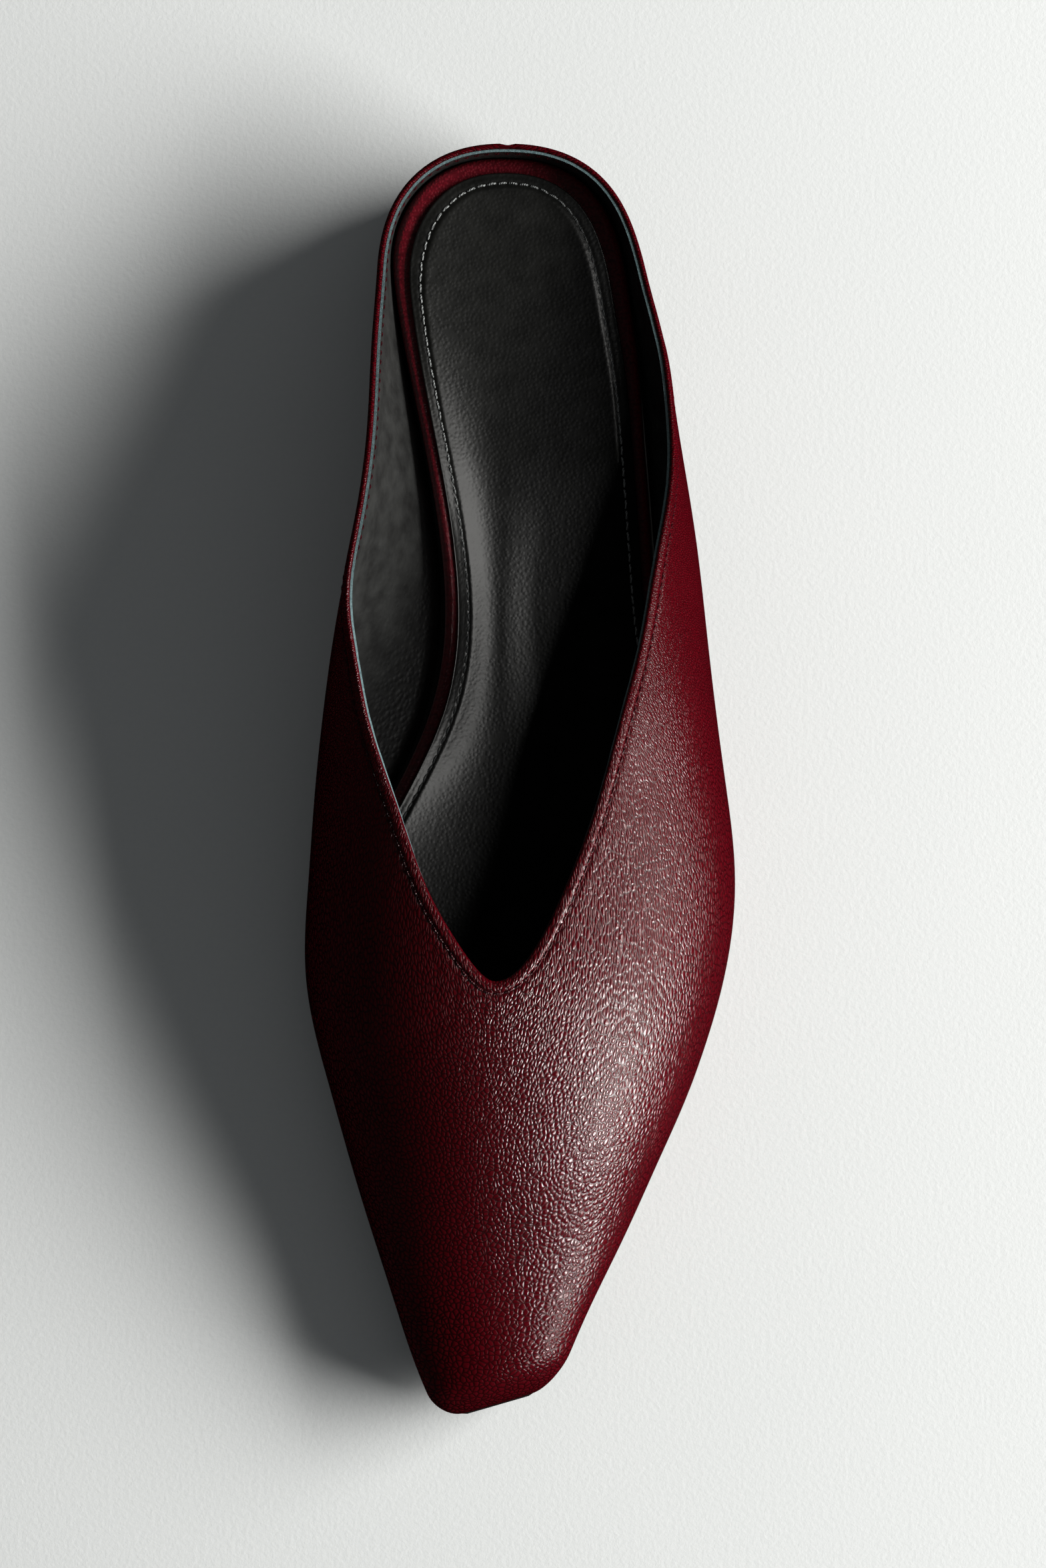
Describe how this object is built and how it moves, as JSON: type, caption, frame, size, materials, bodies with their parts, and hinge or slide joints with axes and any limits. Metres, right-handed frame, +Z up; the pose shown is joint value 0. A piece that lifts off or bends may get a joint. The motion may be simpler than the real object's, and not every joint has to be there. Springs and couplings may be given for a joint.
{
  "type": "mule shoe",
  "caption": "Flat pointed leather mule for the left foot: V throat, low collar round the heel, stitched insole cover, squared slanted toe and a low block heel.",
  "frame": {"origin": "centre of the shoe's box, on the floor it stands on", "axes": "+Z up, +Y towards the heel, -Y towards the toe, +X towards the outer (lateral) side of the left foot"},
  "size_m": [0.0886, 0.2616, 0.0483],
  "materials": {
    "burgundy_leather": "fine-grained nappa, semi-gloss",
    "black_leather": "smooth, satin",
    "lining_leather": "pebbled lining leather, satin",
    "sewing_thread": "twisted thread",
    "black_rubber": "matt, fine texture",
    "heel_stack": "matt black, fine layers"
  },
  "bodies": {
    "root": {"upper": "burgundy_leather", "outsole": "black_rubber", "heel": "heel_stack", "heel_tip": "black_rubber", "footbed": "burgundy_leather", "sock": "black_leather"}
  },
  "joints": []
}
